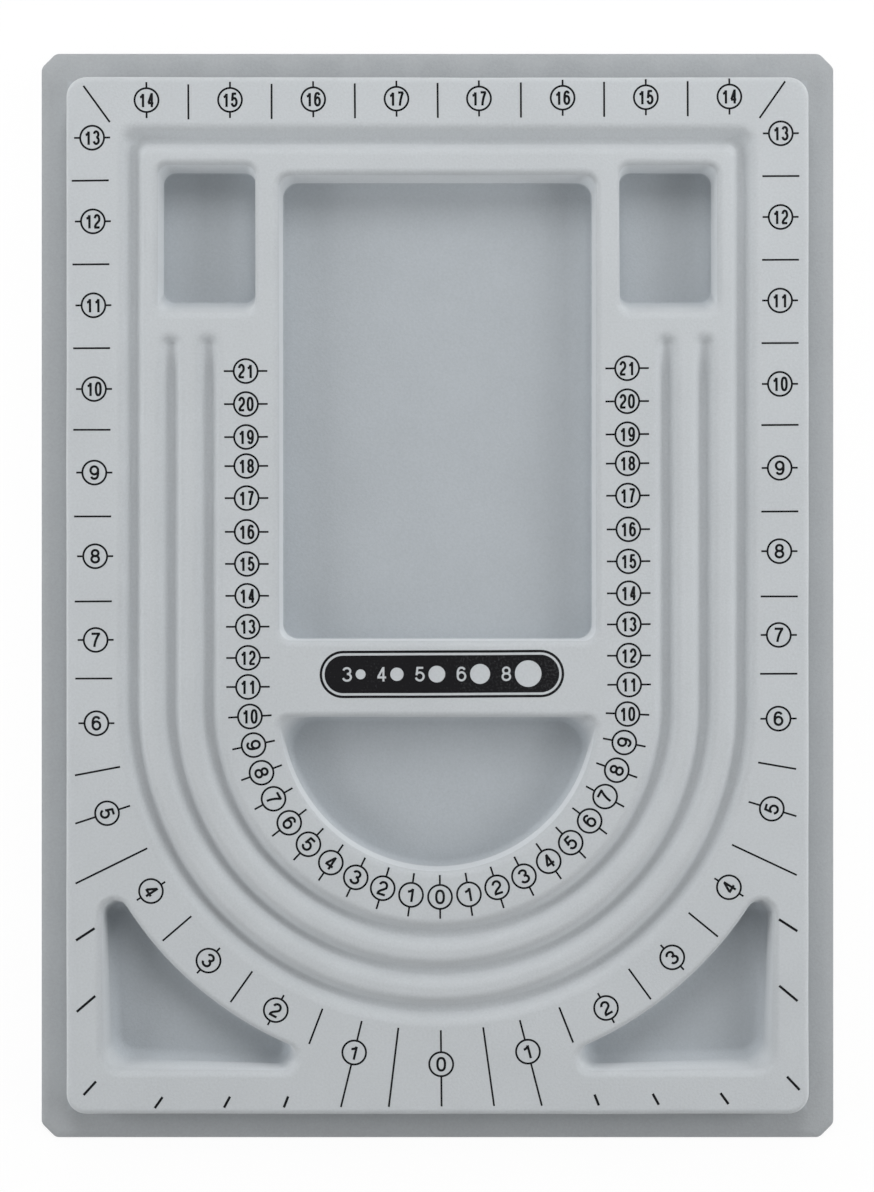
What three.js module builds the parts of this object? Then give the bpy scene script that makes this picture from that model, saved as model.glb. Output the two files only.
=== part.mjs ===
// Bead design board: a tray formed from one plastic sheet, with a flock lining on its upper side.
//
// Millimetres, +Z up. The origin is the middle of the footprint, on the surface that the board lies
// on, and +Y points to the end with the two small bins.
//
// Both pieces follow one relief: a flange, a raised panel, bins that reach down to the level of the
// flange, and three round-bottomed bead channels. skin() makes that relief as an open surface at a
// given depth below the face of the lining, and each piece fills the space between two such skins.

import * as THREE from "three";
import { mergeVertices, toCreasedNormals } from "three/addons/utils/BufferGeometryUtils.js";

const { degToRad } = THREE.MathUtils;

// Overall size
const BOARD_WIDTH = 241.3;
const BOARD_LENGTH = 330.2;
const BOARD_HEIGHT = 12.7;

// Layers: the sheet, the film of adhesive that the lining is bonded with, and the flock
const SHEET_THICKNESS = 0.9;
const ADHESIVE_FILM = 0.2;
const FLOCK_THICKNESS = 0.5;

// Forming: edge radius of the tool under the sheet, and the slope and foot of the walls
const TOOL_EDGE_RADIUS = 0.3;
const WALL_DRAFT = degToRad(3);
const BIN_FLOOR_FILLET = 0.4;

// Flange and panel
const FLANGE_SIDE = 9.5;
const FLANGE_END = 9.85;
const FLANGE_CORNER_CUT = 4.3;
const FLANGE_FILLET = 1.2;
const PANEL_CORNER_RADIUS = 6;

// Flat deck between the edge of the panel and the outermost channel, which carries the inch scale
const INCH_BORDER_SIDE = 14.95;
const INCH_BORDER_TOP = 13.55;
const INCH_BORDER_BOTTOM = 26.05;

// Bead channels, the outermost closed and the inner two open at their upper ends
const CHANNEL_DEPTH = 5;
const CHANNEL_FLOOR_RADIUS = 2;
const CHANNEL_DRAFT = degToRad(28);
const CHANNEL_RIDGE = 1.3;
const CHANNEL_CORNER_RADIUS = 6.5;
const CHANNEL_END_GAP = 4.5;

// Flat deck between the innermost channel and the middle bins, which carries the centimetre scale
const CENTIMETRE_BORDER = 16;

// Large bin and half-round bin, with a flat band between them. The straight side of the half-round
// lies a drop below the centre of the channels' bends, and the centre of its round side a sink.
const MIDDLE_BIN_RADIUS = 3.6;
const TOP_BIN_MARGIN = 5.6;
const MIDDLE_BAND = 22.6;
const HALF_ROUND_DROP = 3.3;
const HALF_ROUND_SINK = 2.2;
const HALF_ROUND_CORNER_RADIUS = 5;

// Small bins at the upper corners, which rise above the large bin and have a slope that leads up to
// the ends of the channels
const SMALL_BIN_RISE = 3;
const SMALL_BIN_LENGTH = 41.9;
const SMALL_BIN_LEAD = 2.8;
const SMALL_BIN_RADIUS = 3.5;
const SMALL_BIN_SIDE_MARGIN = 2.3;
const SMALL_BIN_DIVIDER = 6.9;

// Three-sided bins at the lower corners, whose long side follows the outermost channel
const CORNER_BIN_SIDE_MARGIN = 12.4;
const CORNER_BIN_END_MARGIN = 14.7;
const CORNER_BIN_ARC_BORDER = 14.65;
const CORNER_BIN_RADIUS = 4;
const CORNER_BIN_TIP_RADIUS = 2;

// Rounding that every bin's corners gain between its mouth and its floor
const CORNER_GAIN = 3.2;

// Facets
const SECTION_STEPS = 2;
const CORNER_STEPS = 3;
const BIN_ARC_STEPS = 12;
const CHANNEL_ARC_STEPS = 24;
const CHANNEL_END_STEPS = 6;
const WELD = 1e-4;

const QUARTER = Math.PI / 2;
const TURN = 2 * Math.PI;

const STACK = SHEET_THICKNESS + ADHESIVE_FILM + FLOCK_THICKNESS;
const EDGE_RADIUS = TOOL_EDGE_RADIUS + STACK;
const PANEL_RISE = BOARD_HEIGHT - STACK;

// Distance from the sharp meeting of a wall and a level face to where a round between them begins.
const tangentRun = (radius, draft) => radius * Math.tan((QUARTER - draft) / 2);

// The largest foot radius, up to the one asked for, that leaves room for the rounded edge above it.
function fittingFoot(depth, draft, radius) {
  const wall = depth / Math.cos(draft);
  return Math.min(radius, wall / tangentRun(1, draft) - EDGE_RADIUS);
}

// Section of a wall as points (run, drop): over the rounded edge at its top, down the drafted wall
// and round the fillet at its foot. Run starts at the sharp top edge and drop at the face of the
// lining. The section lies at a given depth inside the layers, measured square to the face.
function wallSection(depth, draft, footRadius, inside) {
  const turned = QUARTER - draft;
  const foot = fittingFoot(depth, draft, footRadius);
  const footRun = depth * Math.tan(draft) + tangentRun(foot, draft);
  const edgeX = -tangentRun(EDGE_RADIUS, draft);
  return [
    ...arc(edgeX, EDGE_RADIUS, EDGE_RADIUS - inside, -QUARTER, turned - QUARTER, SECTION_STEPS),
    ...arc(footRun, depth - foot, foot + inside, turned + QUARTER, QUARTER, SECTION_STEPS),
  ];
}

// Points on an arc, clockwise where the end angle is the smaller. Outlines are lists of arcs, and
// the straight sides are the gaps between them.
function arc(x, y, radius, from, to, steps) {
  return new THREE.EllipseCurve(x, y, radius, radius, from, to, to < from).getPoints(steps);
}

// Outlines run anticlockwise. Those of bins take an inset from the sharp mouth and a corner radius.

// A rectangle, whose lower side lies further out by a lead.
const rectangle = (west, east, south, north) => (inset, radius, lead = 0) => {
  const reach = inset + radius;
  const low = south - lead + reach;
  return [
    ...arc(east - reach, north - reach, radius, 0, QUARTER, CORNER_STEPS),
    ...arc(west + reach, north - reach, radius, QUARTER, Math.PI, CORNER_STEPS),
    ...arc(west + reach, low, radius, Math.PI, 3 * QUARTER, CORNER_STEPS),
    ...arc(east - reach, low, radius, 3 * QUARTER, TURN, CORNER_STEPS),
  ];
};

// A disc cut off by a straight side at the top.
const halfRound = (centreY, discRadius, top) => (inset, radius) => {
  const y = top - inset - radius;
  const x = Math.sqrt((discRadius - inset - radius) ** 2 - (y - centreY) ** 2);
  const lean = Math.atan2(y - centreY, x);
  return [
    ...arc(x, y, radius, lean, QUARTER, CORNER_STEPS),
    ...arc(-x, y, radius, QUARTER, Math.PI - lean, CORNER_STEPS),
    ...arc(0, centreY, discRadius - inset, Math.PI - lean, TURN + lean, BIN_ARC_STEPS),
  ];
};

// Two square sides and a side that bulges inwards, round a centre on the middle line of the board.
const hollowTriangle = (west, south, centreY, arcRadius) => (inset, radius) => {
  const square = radius + CORNER_BIN_RADIUS - CORNER_BIN_TIP_RADIUS;
  const bulge = arcRadius + inset;
  const lowY = south + inset + radius;
  const lowX = -Math.sqrt((bulge + radius) ** 2 - (lowY - centreY) ** 2);
  const highX = west + inset + radius;
  const highY = centreY - Math.sqrt((bulge + radius) ** 2 - highX ** 2);
  const lowAngle = Math.atan2(centreY - lowY, -lowX);
  const highAngle = Math.atan2(centreY - highY, -highX);
  return [
    ...arc(west + inset + square, south + inset + square, square, Math.PI, 3 * QUARTER, CORNER_STEPS),
    ...arc(lowX, lowY, radius, -QUARTER, lowAngle, CORNER_STEPS),
    ...arc(0, centreY, bulge, Math.PI + lowAngle, Math.PI + highAngle, BIN_ARC_STEPS),
    ...arc(highX, highY, radius, highAngle, Math.PI, CORNER_STEPS),
  ];
};

const mirrored = (outline) => (...size) =>
  outline(...size)
    .map((p) => new THREE.Vector2(-p.x, p.y))
    .reverse();

// A channel with two open arms, as a band of the given half width on both sides of its centre line.
const openChannel = (centreY, radius, endY) => (halfWidth) => [
  ...arc(0, centreY, radius + halfWidth, Math.PI, TURN, CHANNEL_ARC_STEPS),
  ...arc(radius, endY, halfWidth, 0, Math.PI, CHANNEL_END_STEPS),
  ...arc(0, centreY, radius - halfWidth, TURN, Math.PI, CHANNEL_ARC_STEPS),
  ...arc(-radius, endY, halfWidth, 0, Math.PI, CHANNEL_END_STEPS),
];

// A closed channel's centre line, moved outwards by an offset.
const closedChannel = (centreY, radius, top) => (offset) => {
  const x = radius - CHANNEL_CORNER_RADIUS;
  const y = top - CHANNEL_CORNER_RADIUS;
  const corner = CHANNEL_CORNER_RADIUS + offset;
  return [
    ...arc(0, centreY, radius + offset, Math.PI, TURN, CHANNEL_ARC_STEPS),
    ...arc(x, y, corner, 0, QUARTER, CORNER_STEPS),
    ...arc(-x, y, corner, QUARTER, Math.PI, CORNER_STEPS),
  ];
};

// Layout, from the edge of the board inwards
const panelX = BOARD_WIDTH / 2 - FLANGE_SIDE;
const panelY = BOARD_LENGTH / 2 - FLANGE_END;

const channelFoot = fittingFoot(CHANNEL_DEPTH, CHANNEL_DRAFT, CHANNEL_FLOOR_RADIUS);
const channelMouth = CHANNEL_DEPTH * Math.tan(CHANNEL_DRAFT) + tangentRun(channelFoot, CHANNEL_DRAFT);
const channelEdge = channelMouth + tangentRun(EDGE_RADIUS, CHANNEL_DRAFT);
const channelPitch = 2 * channelEdge + CHANNEL_RIDGE;

const outerRadius = panelX - INCH_BORDER_SIDE - channelEdge;
const middleRadius = outerRadius - channelPitch;
const innerRadius = middleRadius - channelPitch;
const arcY = -panelY + INCH_BORDER_BOTTOM + channelEdge + outerRadius;
const outerTop = panelY - INCH_BORDER_TOP - channelEdge;

const binTop = outerTop - channelEdge - TOP_BIN_MARGIN;
const middleBinX = innerRadius - channelEdge - CENTIMETRE_BORDER;
const halfRoundTop = arcY - HALF_ROUND_DROP;
const smallBinWest = middleBinX + SMALL_BIN_DIVIDER;
const smallBinEast = outerRadius - channelEdge - SMALL_BIN_SIDE_MARGIN;
const smallBinTop = binTop + SMALL_BIN_RISE;
const smallBinBottom = smallBinTop - SMALL_BIN_LENGTH;
const channelEnd = smallBinBottom - SMALL_BIN_LEAD - CHANNEL_END_GAP - channelEdge;
const cornerBinX = panelX - CORNER_BIN_SIDE_MARGIN;
const cornerBinBottom = -panelY + CORNER_BIN_END_MARGIN;
const cornerBinArc = outerRadius + channelEdge + CORNER_BIN_ARC_BORDER;

const flangeOutline = [
  [1, -1],
  [1, 1],
  [-1, 1],
  [-1, -1],
].flatMap(([x, y]) => {
  const side = new THREE.Vector2((x * BOARD_WIDTH) / 2, y * (BOARD_LENGTH / 2 - FLANGE_CORNER_CUT));
  const end = new THREE.Vector2(x * (BOARD_WIDTH / 2 - FLANGE_CORNER_CUT), (y * BOARD_LENGTH) / 2);
  return x * y > 0 ? [side, end] : [end, side];
});

const panel = rectangle(-panelX, panelX, -panelY, panelY);
const outerChannel = closedChannel(arcY, outerRadius, outerTop);
const innerChannels = [middleRadius, innerRadius].map((radius) => openChannel(arcY, radius, channelEnd));

const leftCornerBin = hollowTriangle(-cornerBinX, cornerBinBottom, arcY, cornerBinArc);
const borderBins = [
  { mouth: leftCornerBin, radius: CORNER_BIN_TIP_RADIUS },
  { mouth: mirrored(leftCornerBin), radius: CORNER_BIN_TIP_RADIUS },
];
const leftSmallBin = rectangle(-smallBinEast, -smallBinWest, smallBinBottom, smallBinTop);
const middleBins = [
  { mouth: leftSmallBin, radius: SMALL_BIN_RADIUS, lead: SMALL_BIN_LEAD },
  { mouth: mirrored(leftSmallBin), radius: SMALL_BIN_RADIUS, lead: SMALL_BIN_LEAD },
  {
    mouth: rectangle(-middleBinX, middleBinX, halfRoundTop + MIDDLE_BAND, binTop),
    radius: MIDDLE_BIN_RADIUS,
  },
  {
    mouth: halfRound(arcY - HALF_ROUND_SINK, middleBinX, halfRoundTop),
    radius: HALF_ROUND_CORNER_RADIUS,
  },
];

// An outline as a ring of points at a given drop below the face of the panel.
function ringAt(outline, drop) {
  return outline.map((p) => new THREE.Vector3(p.x, p.y, BOARD_HEIGHT - drop));
}

// Triangles between two rings of equal count, facing up where the first lies outside the second.
function strip(outer, inner) {
  return outer.flatMap((point, i) => {
    const next = (i + 1) % outer.length;
    return [
      [point, outer[next], inner[i]],
      [outer[next], inner[next], inner[i]],
    ];
  });
}

function strips(rings) {
  return rings.slice(1).flatMap((ring, i) => strip(rings[i], ring));
}

// Triangles of a level face inside a ring, with other rings left open in it.
function level(ring, openings = []) {
  const contour = [...ring];
  const holes = openings.map((opening) => [...opening]);
  const corners = THREE.ShapeUtils.triangulateShape(contour, holes);
  const points = [contour, ...holes].flat();
  return corners.map((triangle) => triangle.map((corner) => points[corner]));
}

// The relief of the board at a given depth inside its layers, and the ring of its trimmed edge.
function skin(inside) {
  const binSection = wallSection(PANEL_RISE, WALL_DRAFT, BIN_FLOOR_FILLET, inside);
  const binRings = ({ mouth, radius, lead = 0 }) =>
    binSection.map(({ x: run, y: drop }) => {
      const sunk = THREE.MathUtils.clamp(drop / PANEL_RISE, 0, 1);
      return ringAt(mouth(run, radius + CORNER_GAIN * sunk - run, lead * (1 - sunk) ** 2), drop);
    });
  const border = borderBins.map(binRings);
  const middle = middleBins.map(binRings);

  const channelSection = wallSection(CHANNEL_DEPTH, CHANNEL_DRAFT, CHANNEL_FLOOR_RADIUS, inside);
  const openRings = innerChannels.map((band) =>
    channelSection.map(({ x: run, y: drop }) => ringAt(band(channelMouth - run), drop)),
  );
  const outerFlank = channelSection.map(({ x: run, y: drop }) =>
    ringAt(outerChannel(channelMouth - run), drop),
  );
  const innerFlank = channelSection.map(({ x: run, y: drop }) =>
    ringAt(outerChannel(run - channelMouth), drop),
  );
  const closedRings = [...outerFlank, ...innerFlank.reverse()];

  const panelRings = wallSection(PANEL_RISE, WALL_DRAFT, FLANGE_FILLET, inside)
    .map(({ x: run, y: drop }) => ringAt(panel(-run, PANEL_CORNER_RADIUS + run), drop))
    .reverse();
  const rim = ringAt(flangeOutline, PANEL_RISE + inside);

  const mouths = (walls) => walls.map((rings) => rings[0]);
  const faces = [
    ...level(rim, [panelRings[0]]),
    ...strips(panelRings),
    ...level(panelRings.at(-1), [closedRings[0], ...mouths(border)]),
    ...strips(closedRings),
    ...level(closedRings.at(-1), [...mouths(openRings), ...mouths(middle)]),
    ...[...border, ...middle, ...openRings].flatMap(strips),
    ...[...border, ...middle].flatMap((rings) => level(rings.at(-1))),
  ];
  return { faces, rim };
}

// The closed body between two skins, with the flanks of the channels welded along their floors.
function layerGeometry(upper, lower) {
  const top = skin(upper);
  const bottom = skin(lower);
  const faces = [
    ...top.faces,
    ...bottom.faces.map((face) => face.toReversed()),
    ...strip(bottom.rim, top.rim),
  ];
  const welded = mergeVertices(new THREE.BufferGeometry().setFromPoints(faces.flat()), WELD);
  const index = [];
  for (let i = 0; i < welded.index.count; i += 3) {
    const corners = [0, 1, 2].map((k) => welded.index.getX(i + k));
    if (new Set(corners).size === corners.length) index.push(...corners);
  }
  return toCreasedNormals(welded.setIndex(index));
}

function formedTray() {
  const material = new THREE.MeshStandardMaterial({ color: 0x9a9da0, roughness: 0.45, metalness: 0 });
  return new THREE.Mesh(layerGeometry(FLOCK_THICKNESS + ADHESIVE_FILM, STACK), material);
}

function flockLining() {
  const material = new THREE.MeshStandardMaterial({ color: 0xbabec1, roughness: 0.95, metalness: 0 });
  return new THREE.Mesh(layerGeometry(0, FLOCK_THICKNESS), material);
}

const board = new THREE.Group();
board.name = "bead_board";
for (const [name, make] of Object.entries({ formed_tray: formedTray, flock_lining: flockLining })) {
  const mesh = make();
  mesh.name = name;
  board.add(mesh);
}

export default board;
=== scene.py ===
"""Looks of a bead design board: flocked tray of formed sheet, printed scales and a plain studio.

Lengths are millimetres in the board's own frame, with +Z up and +Y towards the two small bins, and
become metres only where a mesh, lamp or camera is made.
"""

import logging
import math
from abc import ABC, abstractmethod
from dataclasses import dataclass, field
from enum import Enum
from functools import cached_property
from typing import Any, Mapping, Sequence, Union

import bpy
import numpy as np
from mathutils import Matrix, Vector, noise
from mathutils.geometry import delaunay_2d_cdt


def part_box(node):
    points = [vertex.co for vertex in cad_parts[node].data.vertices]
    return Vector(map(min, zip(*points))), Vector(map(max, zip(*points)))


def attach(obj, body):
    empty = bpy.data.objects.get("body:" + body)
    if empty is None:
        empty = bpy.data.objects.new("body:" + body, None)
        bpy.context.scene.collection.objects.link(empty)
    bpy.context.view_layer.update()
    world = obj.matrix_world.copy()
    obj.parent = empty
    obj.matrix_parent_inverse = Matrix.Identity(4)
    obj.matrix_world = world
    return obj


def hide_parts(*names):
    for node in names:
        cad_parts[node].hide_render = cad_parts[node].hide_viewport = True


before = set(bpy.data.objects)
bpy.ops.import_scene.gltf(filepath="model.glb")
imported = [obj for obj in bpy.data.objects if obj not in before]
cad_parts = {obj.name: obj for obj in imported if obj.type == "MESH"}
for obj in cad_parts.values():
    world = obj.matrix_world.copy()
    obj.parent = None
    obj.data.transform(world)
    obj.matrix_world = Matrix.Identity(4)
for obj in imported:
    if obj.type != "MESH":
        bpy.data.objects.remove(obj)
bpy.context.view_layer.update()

LOG = logging.getLogger("bead_board")
MM = 0.001
QUARTER = math.pi / 2
TURN = 2 * math.pi
WHITE = (1.0, 1.0, 1.0, 1.0)
NOISE_MEAN = 0.5
# Corners of a mesh, and those of flat outlines, that lie closer than this are one.
WELD = 1e-4
NEAR = 1e-5
# Least sine or cosine that a length is divided by.
LEAST_SHARE = 1e-6
LEAST_MITRE = 0.4

Colour = tuple[float, float, float]
Polygon = Sequence[Sequence[float]]
Value = Union["Socket", float]


class Side(Enum):
    """Half of the board, as the sign of its X coordinates."""

    LEFT = -1
    RIGHT = 1


# Shader expressions


@dataclass(frozen=True)
class Socket:
    """An output of a shader node, with operators that add the nodes they stand for."""

    shader: "Shader"
    source: bpy.types.Node
    name: str | int

    def maths(self, operation: str, *values: Value) -> "Socket":
        """Adds a Math node with some inputs and gives its value."""
        return self.shader.node("ShaderNodeMath", {"operation": operation}, dict(enumerate(values)))

    def __add__(self, other: Value) -> "Socket":
        """This value plus another."""
        return self.maths("ADD", self, other)

    __radd__ = __add__

    def __sub__(self, other: Value) -> "Socket":
        """This value less another."""
        return self.maths("SUBTRACT", self, other)

    def __rsub__(self, other: Value) -> "Socket":
        """A number less this value."""
        return self.maths("SUBTRACT", other, self)

    def __mul__(self, other: Value) -> "Socket":
        """This value times another."""
        return self.maths("MULTIPLY", self, other)

    __rmul__ = __mul__

    def __abs__(self) -> "Socket":
        """The size of this value without its sign."""
        return self.maths("ABSOLUTE", self)

    def larger(self, other: Value) -> "Socket":
        """The larger of this value and another."""
        return self.maths("MAXIMUM", self, other)

    def step(self, low: float, high: float) -> "Socket":
        """A smooth step from 0 to 1 as this value goes from low to high."""
        inputs = {"Value": self, "From Min": low, "From Max": high}
        return self.shader.node("ShaderNodeMapRange", {"interpolation_type": "SMOOTHSTEP"}, inputs)

    def swing(self, share: float) -> "Socket":
        """This noise as a swing of up to a share either way."""
        return (self - NOISE_MEAN) * (2 * share)

    def axis(self, name: str) -> "Socket":
        """One coordinate of this vector."""
        return self.shader.node("ShaderNodeSeparateXYZ", {}, {"Vector": self}, name)

    def also(self, name: str) -> "Socket":
        """Another output of the same node."""
        return Socket(self.shader, self.source, name)


class Shader:
    """A node tree under construction, for a material or for the world."""

    def __init__(self, owner: bpy.types.Material | bpy.types.World) -> None:
        """Empties the owner's node tree."""
        owner.use_nodes = True
        self.tree = owner.node_tree
        self.tree.nodes.clear()

    def node(
        self,
        kind: str,
        settings: Mapping[str, Any],
        inputs: Mapping[str | int, Any],
        output: str | int = 0,
    ) -> Socket:
        """Adds a node.

        Args:
            kind: the node's type.
            settings: its own settings, which are set first.
            inputs: values, or sockets to link, by the name or place of the input.
            output: the name or place of the output that is given back.

        Returns:
            That output.
        """
        made = self.tree.nodes.new(kind)
        for name, value in settings.items():
            setattr(made, name, value)
        for name, value in inputs.items():
            if isinstance(value, Socket):
                self.tree.links.new(value.source.outputs[value.name], made.inputs[name])
            else:
                made.inputs[name].default_value = value
        return Socket(self, made, output)

    def mix(self, share: Socket, first: Colour, second: Colour) -> Socket:
        """Mixes two colours, of which the second shows by a share."""
        # Colours have their own places among the node's inputs and outputs.
        return self.node(
            "ShaderNodeMix", {"data_type": "RGBA"}, {0: share, 6: rgba(first), 7: rgba(second)}, 2
        )

    @cached_property
    def place(self) -> Socket:
        """The point being shaded, in the object's own frame in metres."""
        return self.node("ShaderNodeTexCoord", {}, {}, "Object")

    @cached_property
    def seen(self) -> Socket:
        """One for rays from the camera and for those that gloss or glass sends on, else nought."""
        camera = self.node("ShaderNodeLightPath", {}, {}, "Is Camera Ray")
        return camera.larger(camera.also("Is Glossy Ray")).larger(camera.also("Is Transmission Ray"))


def rgba(colour: Colour) -> tuple[float, float, float, float]:
    """A colour with full alpha."""
    return (*colour, 1.0)


def scaled(colour: Colour, factor: float) -> Colour:
    """A colour made lighter or darker by a factor."""
    return tuple(channel * factor for channel in colour)


@dataclass(frozen=True)
class Grain:
    """Noise that is fixed to the object: spots to a metre, and count and strength of finer octaves."""

    scale: float
    detail: float
    roughness: float = 0.5

    def on(self, shader: Shader) -> Socket:
        """The noise at the point being shaded."""
        sizes = {"Scale": self.scale, "Detail": self.detail, "Roughness": self.roughness}
        return shader.node("ShaderNodeTexNoise", {}, {"Vector": shader.place, **sizes})


@dataclass(frozen=True)
class Bump:
    """Relief finer than the mesh: how much a height of 1 stands for, and the share that is used."""

    depth: float
    strength: float

    def over(self, height: Socket) -> Socket:
        """The normal that a height gives."""
        inputs = {"Height": height, "Distance": self.depth * MM, "Strength": self.strength}
        return height.shader.node("ShaderNodeBump", {}, inputs)


FIBRES = Grain(1500.0, 3.0, 0.6)


# Finishes


class Finish(ABC):
    """A surface finish, which makes its own material."""

    name: str

    def material(self) -> bpy.types.Material:
        """Makes the material.

        Returns:
            The finished material.
        """
        made = bpy.data.materials.new(self.name)
        shader = Shader(made)
        shader.node("ShaderNodeOutputMaterial", {}, {"Surface": self.surface(shader)})
        return made

    @abstractmethod
    def surface(self, shader: Shader) -> Socket:
        """Adds the finish's nodes.

        Args:
            shader: the node tree to add to.

        Returns:
            The finish's shader.
        """


@dataclass(frozen=True)
class FlockFinish(Finish):
    """Short grey fibres, matt and slightly cloudy, with painted shade on the flange and on deep floors
    and painted light on steep faces.
    """

    name: str = "grey_flock"
    colour: Colour = (0.487, 0.512, 0.531)
    # Painted shade: the flock's colour on the flange is darkened to this share, standing in for the
    # shade of the raised panel.
    flange_share: float = 0.72
    panel_half: tuple[float, float] = (111.2, 155.3)
    flange_fade: float = 2.0
    # Painted shade: low level faces in the recesses take this darker colour, standing in for the shade
    # inside them.
    floor_colour: Colour = (0.390, 0.420, 0.447)
    floor_fade: tuple[float, float] = (1.75, 9.5)
    # Painted light: steep faces are made brighter by this share, standing in for the flock's sheen and
    # the light on walls.
    wall_gain: float = 0.2
    wall_slope: tuple[float, float] = (0.72, 0.95)
    clouds: Grain = Grain(45.0, 2.0)
    cloud_share: float = 0.05
    fibre_share: float = 0.11
    bump: Bump = Bump(0.25, 0.35)
    roughness: float = 0.95
    specular: float = 0.05
    sheen: float = 0.3
    sheen_roughness: float = 0.6

    def surface(self, shader: Shader) -> Socket:
        """Adds the flock's nodes, as the base class says."""
        fibres, clouds = FIBRES.on(shader), self.clouds.on(shader)
        across, along = (
            abs(shader.place.axis(axis)) - half * MM for axis, half in zip("XY", self.panel_half)
        )
        # Mask of the flange, where painted shade darkens the flock.
        flange = across.larger(along).step(0.0, self.flange_fade * MM)
        # Mask of steep faces, which get painted light.
        steep = (1 - shader.place.also("Normal").axis("Z")).step(*self.wall_slope)
        # Painted shade of the floors fades out above these heights, and the plain colour shows where
        # full is 1.
        raised = shader.place.axis("Z").step(*(height * MM for height in self.floor_fade))
        full = raised.larger(flange).larger(steep)
        lit = 1 + fibres.swing(self.fibre_share) + clouds.swing(self.cloud_share)
        # Grain, painted light on steep faces and painted shade on the flange are multiplied into the
        # colour.
        shade = lit * (1 + steep * self.wall_gain) * (1 - flange * (1 - self.flange_share))
        tint = {"Vector": shader.mix(full, self.floor_colour, self.colour), "Scale": shade}
        inputs = {
            "Base Color": shader.node("ShaderNodeVectorMath", {"operation": "SCALE"}, tint),
            "Roughness": self.roughness,
            "Specular IOR Level": self.specular,
            "Sheen Weight": self.sheen,
            "Sheen Roughness": self.sheen_roughness,
            "Normal": self.bump.over(fibres),
        }
        return shader.node("ShaderNodeBsdfPrincipled", {}, inputs)


@dataclass(frozen=True)
class SheetFinish(Finish):
    """Satin grey plastic sheet with faint forming marks."""

    name: str = "grey_sheet"
    colour: Colour = (0.33, 0.345, 0.355)
    marks: Grain = Grain(60.0, 4.0)
    mark_share: float = 0.05
    grain: Grain = Grain(900.0, 2.0)
    bump: Bump = Bump(0.05, 0.35)
    roughness: float = 0.42
    roughness_swing: float = 0.1

    def surface(self, shader: Shader) -> Socket:
        """Adds the sheet's nodes, as the base class says."""
        marks, grain = self.marks.on(shader), self.grain.on(shader)
        dark, light = (scaled(self.colour, 1 + swing) for swing in (-self.mark_share, self.mark_share))
        inputs = {
            "Base Color": shader.mix(marks, dark, light),
            "Roughness": self.roughness + grain.swing(self.roughness_swing),
            "Normal": self.bump.over(grain),
        }
        return shader.node("ShaderNodeBsdfPrincipled", {}, inputs)


@dataclass(frozen=True)
class InkFinish(Finish):
    """Matt black ink between fibres, which show through where it is thin."""

    name: str = "black_ink"
    ink: Colour = (0.006, 0.006, 0.007)
    worn: Colour = (0.030, 0.031, 0.033)
    wear: Grain = Grain(38.0, 1.0)
    wear_fade: tuple[float, float] = (0.45, 0.8)
    wear_share: float = 0.15
    thin_fade: tuple[float, float] = (0.58, 0.85)
    bump: Bump = Bump(0.15, 0.4)
    roughness: float = 0.8
    specular: float = 0.1

    def surface(self, shader: Shader) -> Socket:
        """Adds the ink's nodes, as the base class says."""
        fibres = FIBRES.on(shader)
        wear = self.wear.on(shader).step(*self.wear_fade) * self.wear_share
        inputs = {
            "Base Color": shader.mix((fibres + wear).step(*self.thin_fade), self.ink, self.worn),
            "Roughness": self.roughness,
            "Specular IOR Level": self.specular,
            "Normal": self.bump.over(fibres),
        }
        return shader.node("ShaderNodeBsdfPrincipled", {}, inputs)


@dataclass(frozen=True)
class FloorFinish(Finish):
    """White paper, which the camera sees almost evenly white, with the shadow kept."""

    name: str = "white_floor"
    colour: Colour = (0.95, 0.95, 0.95)
    glow: float = 0.93

    def surface(self, shader: Shader) -> Socket:
        """Adds the floor's nodes, as the base class says."""
        paper = shader.node("ShaderNodeBsdfDiffuse", {}, {"Color": rgba(self.colour)})
        glow = shader.node("ShaderNodeEmission", {}, {"Color": WHITE, "Strength": 1.0})
        return shader.node("ShaderNodeMixShader", {}, {0: shader.seen * self.glow, 1: paper, 2: glow})


# Meshes


def placed(name: str, points: np.ndarray, faces: Sequence[Sequence[int]]) -> bpy.types.Object:
    """Makes an object from points in millimetres.

    Args:
        name: the piece's name.
        points: an array of points.
        faces: the corners of each face.

    Returns:
        The new object, linked to the scene.
    """
    mesh = bpy.data.meshes.new(name)
    mesh.from_pydata((points * MM).tolist(), [], faces)
    mesh.update()
    made = bpy.data.objects.new(name, mesh)
    bpy.context.scene.collection.objects.link(made)
    return made


def welded(triangles: np.ndarray) -> tuple[np.ndarray, list[list[int]]]:
    """Joins the equal corners of loose triangles and drops those that fall flat.

    Args:
        triangles: an array of triangles, each of three points.

    Returns:
        The distinct points and the corners of each triangle.
    """
    corners = triangles.reshape(-1, 3)
    keys = np.round(corners / WELD).astype(np.int64)
    _, first, index = np.unique(keys, axis=0, return_index=True, return_inverse=True)
    index = index.reshape(-1, 3)
    whole = np.all(index != np.roll(index, 1, axis=1), axis=1)
    return corners[first], index[whole].tolist()


@dataclass(frozen=True)
class Arc:
    """A stretch of a circle in an outline."""

    x: float
    y: float
    radius: float
    start: float
    end: float
    steps: int

    def points(self) -> np.ndarray:
        """Points along the arc, ends included."""
        turn = np.linspace(self.start, self.end, self.steps + 1)
        return np.c_[self.x + self.radius * np.cos(turn), self.y + self.radius * np.sin(turn)]

    def mirrored(self) -> "Arc":
        """The same arc on the other side of the middle line, still anticlockwise."""
        start, end = math.pi - self.end, math.pi - self.start
        return Arc(-self.x, self.y, self.radius, start, end, self.steps)


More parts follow.
